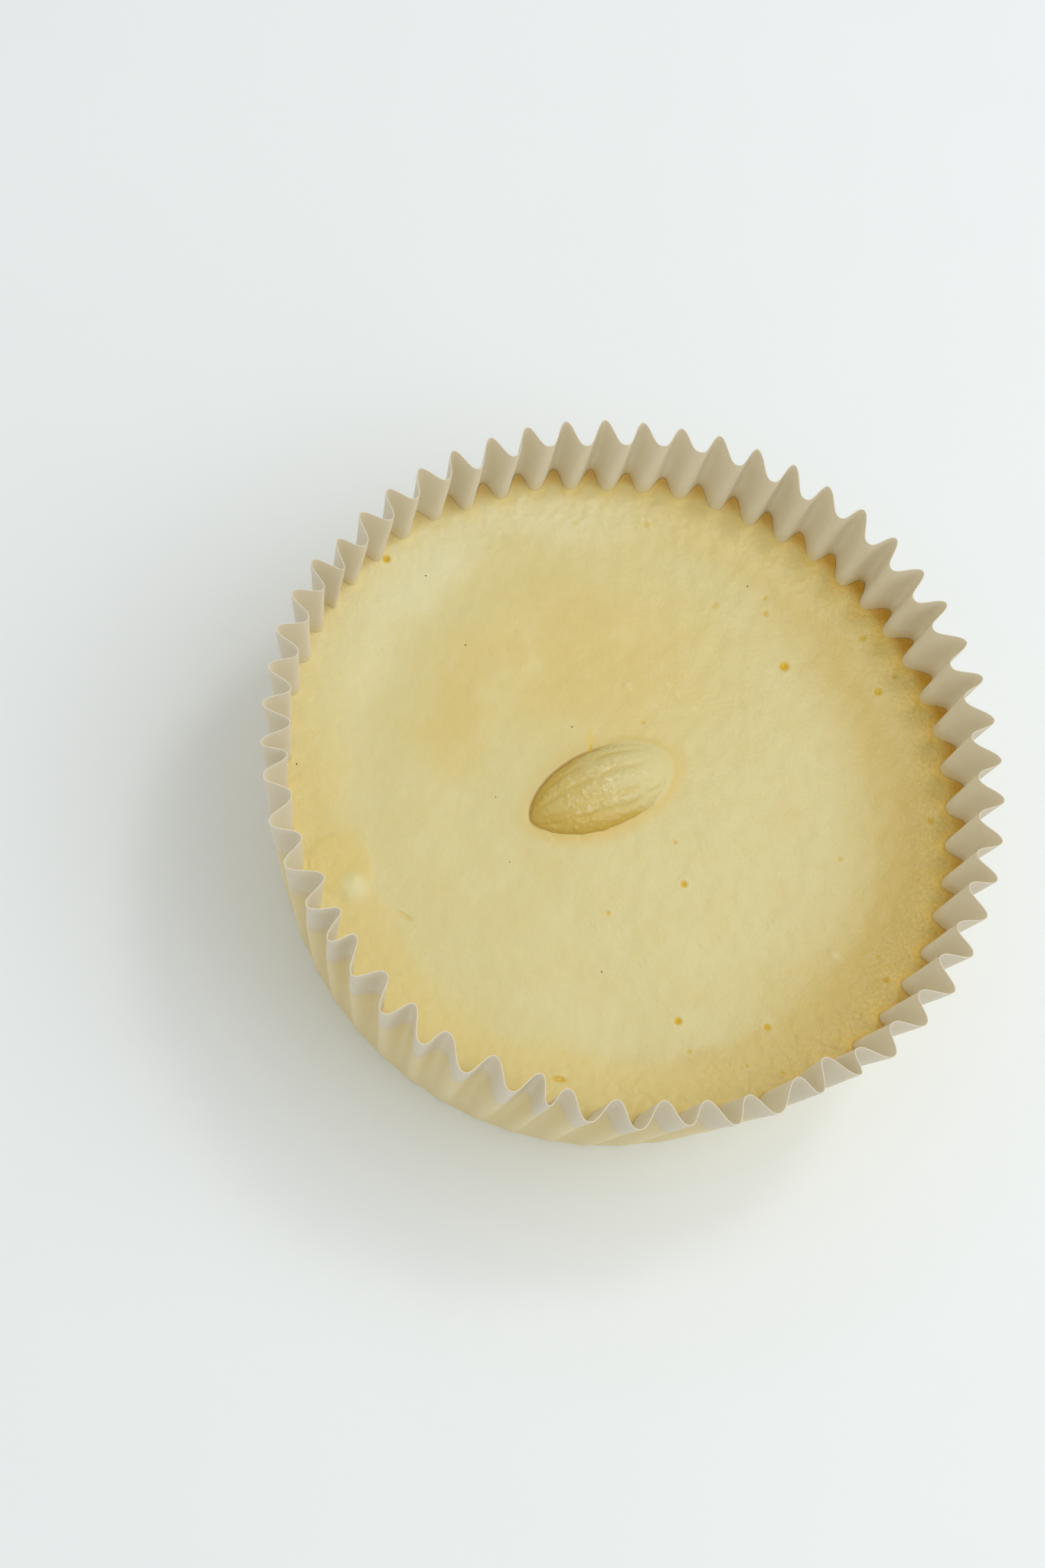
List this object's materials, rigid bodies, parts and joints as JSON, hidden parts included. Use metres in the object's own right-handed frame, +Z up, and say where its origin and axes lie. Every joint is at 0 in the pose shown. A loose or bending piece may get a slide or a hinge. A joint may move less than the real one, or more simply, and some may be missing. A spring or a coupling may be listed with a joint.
{
  "type": "white chocolate terrine in a paper case",
  "caption": "Round set cream dessert in a flared, pleated paper case, with a small pod-shaped chocolate half sunk in the middle of its dished top.",
  "frame": {"origin": "middle of the case's underside, on the surface that it stands on", "axes": "+Z up; the small pod lies along a line about 58 degrees from +X towards +Y, with its taller end at -X -Y"},
  "size_m": [0.1199, 0.1198, 0.0421],
  "materials": {
    "cream": "satin",
    "paper": "matte",
    "white_chocolate": "gloss"
  },
  "bodies": {
    "root": {"paper_case": "paper", "terrine": "cream", "cocoa_pod": "white_chocolate"}
  },
  "joints": []
}
